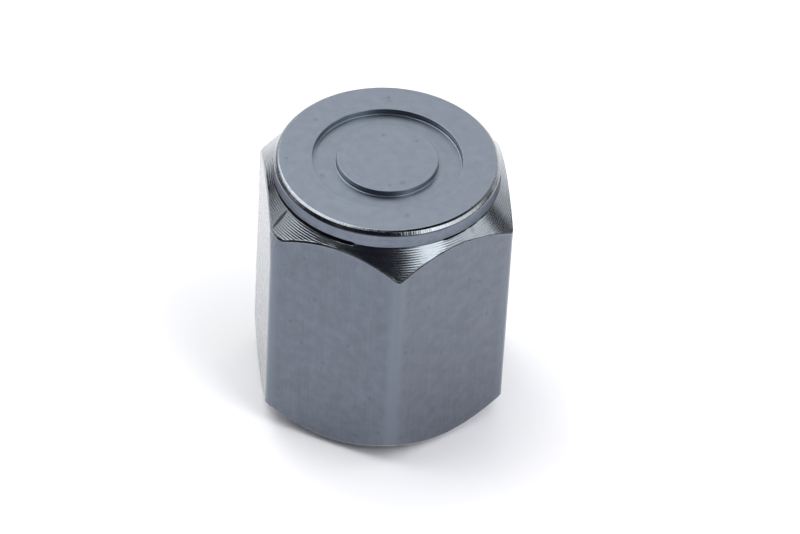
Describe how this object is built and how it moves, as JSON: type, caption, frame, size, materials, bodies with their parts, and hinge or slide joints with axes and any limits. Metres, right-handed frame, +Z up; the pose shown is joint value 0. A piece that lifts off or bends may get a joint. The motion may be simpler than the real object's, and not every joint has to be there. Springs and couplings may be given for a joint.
{
  "type": "tyre valve cap",
  "caption": "Hexagonal metal tyre valve cap with coned ends, a round boss with a ring groove on top, a blind threaded hole for the valve stem and a rubber sealing ring inside.",
  "frame": {"origin": "centre of the end face around the hole's mouth, which the cap stands on", "axes": "+Z up along the cap's axis towards the boss; one corner of the hexagon points along -Y, and two flats face +X and -X"},
  "size_m": [0.01, 0.0114, 0.012],
  "materials": {
    "anodised_aluminium": "grey anodised, drawn flats matte, turned surfaces glossy",
    "seal_rubber": "matte black"
  },
  "bodies": {
    "root": {"cap_body": "anodised_aluminium", "seal_ring": "seal_rubber"}
  },
  "joints": []
}
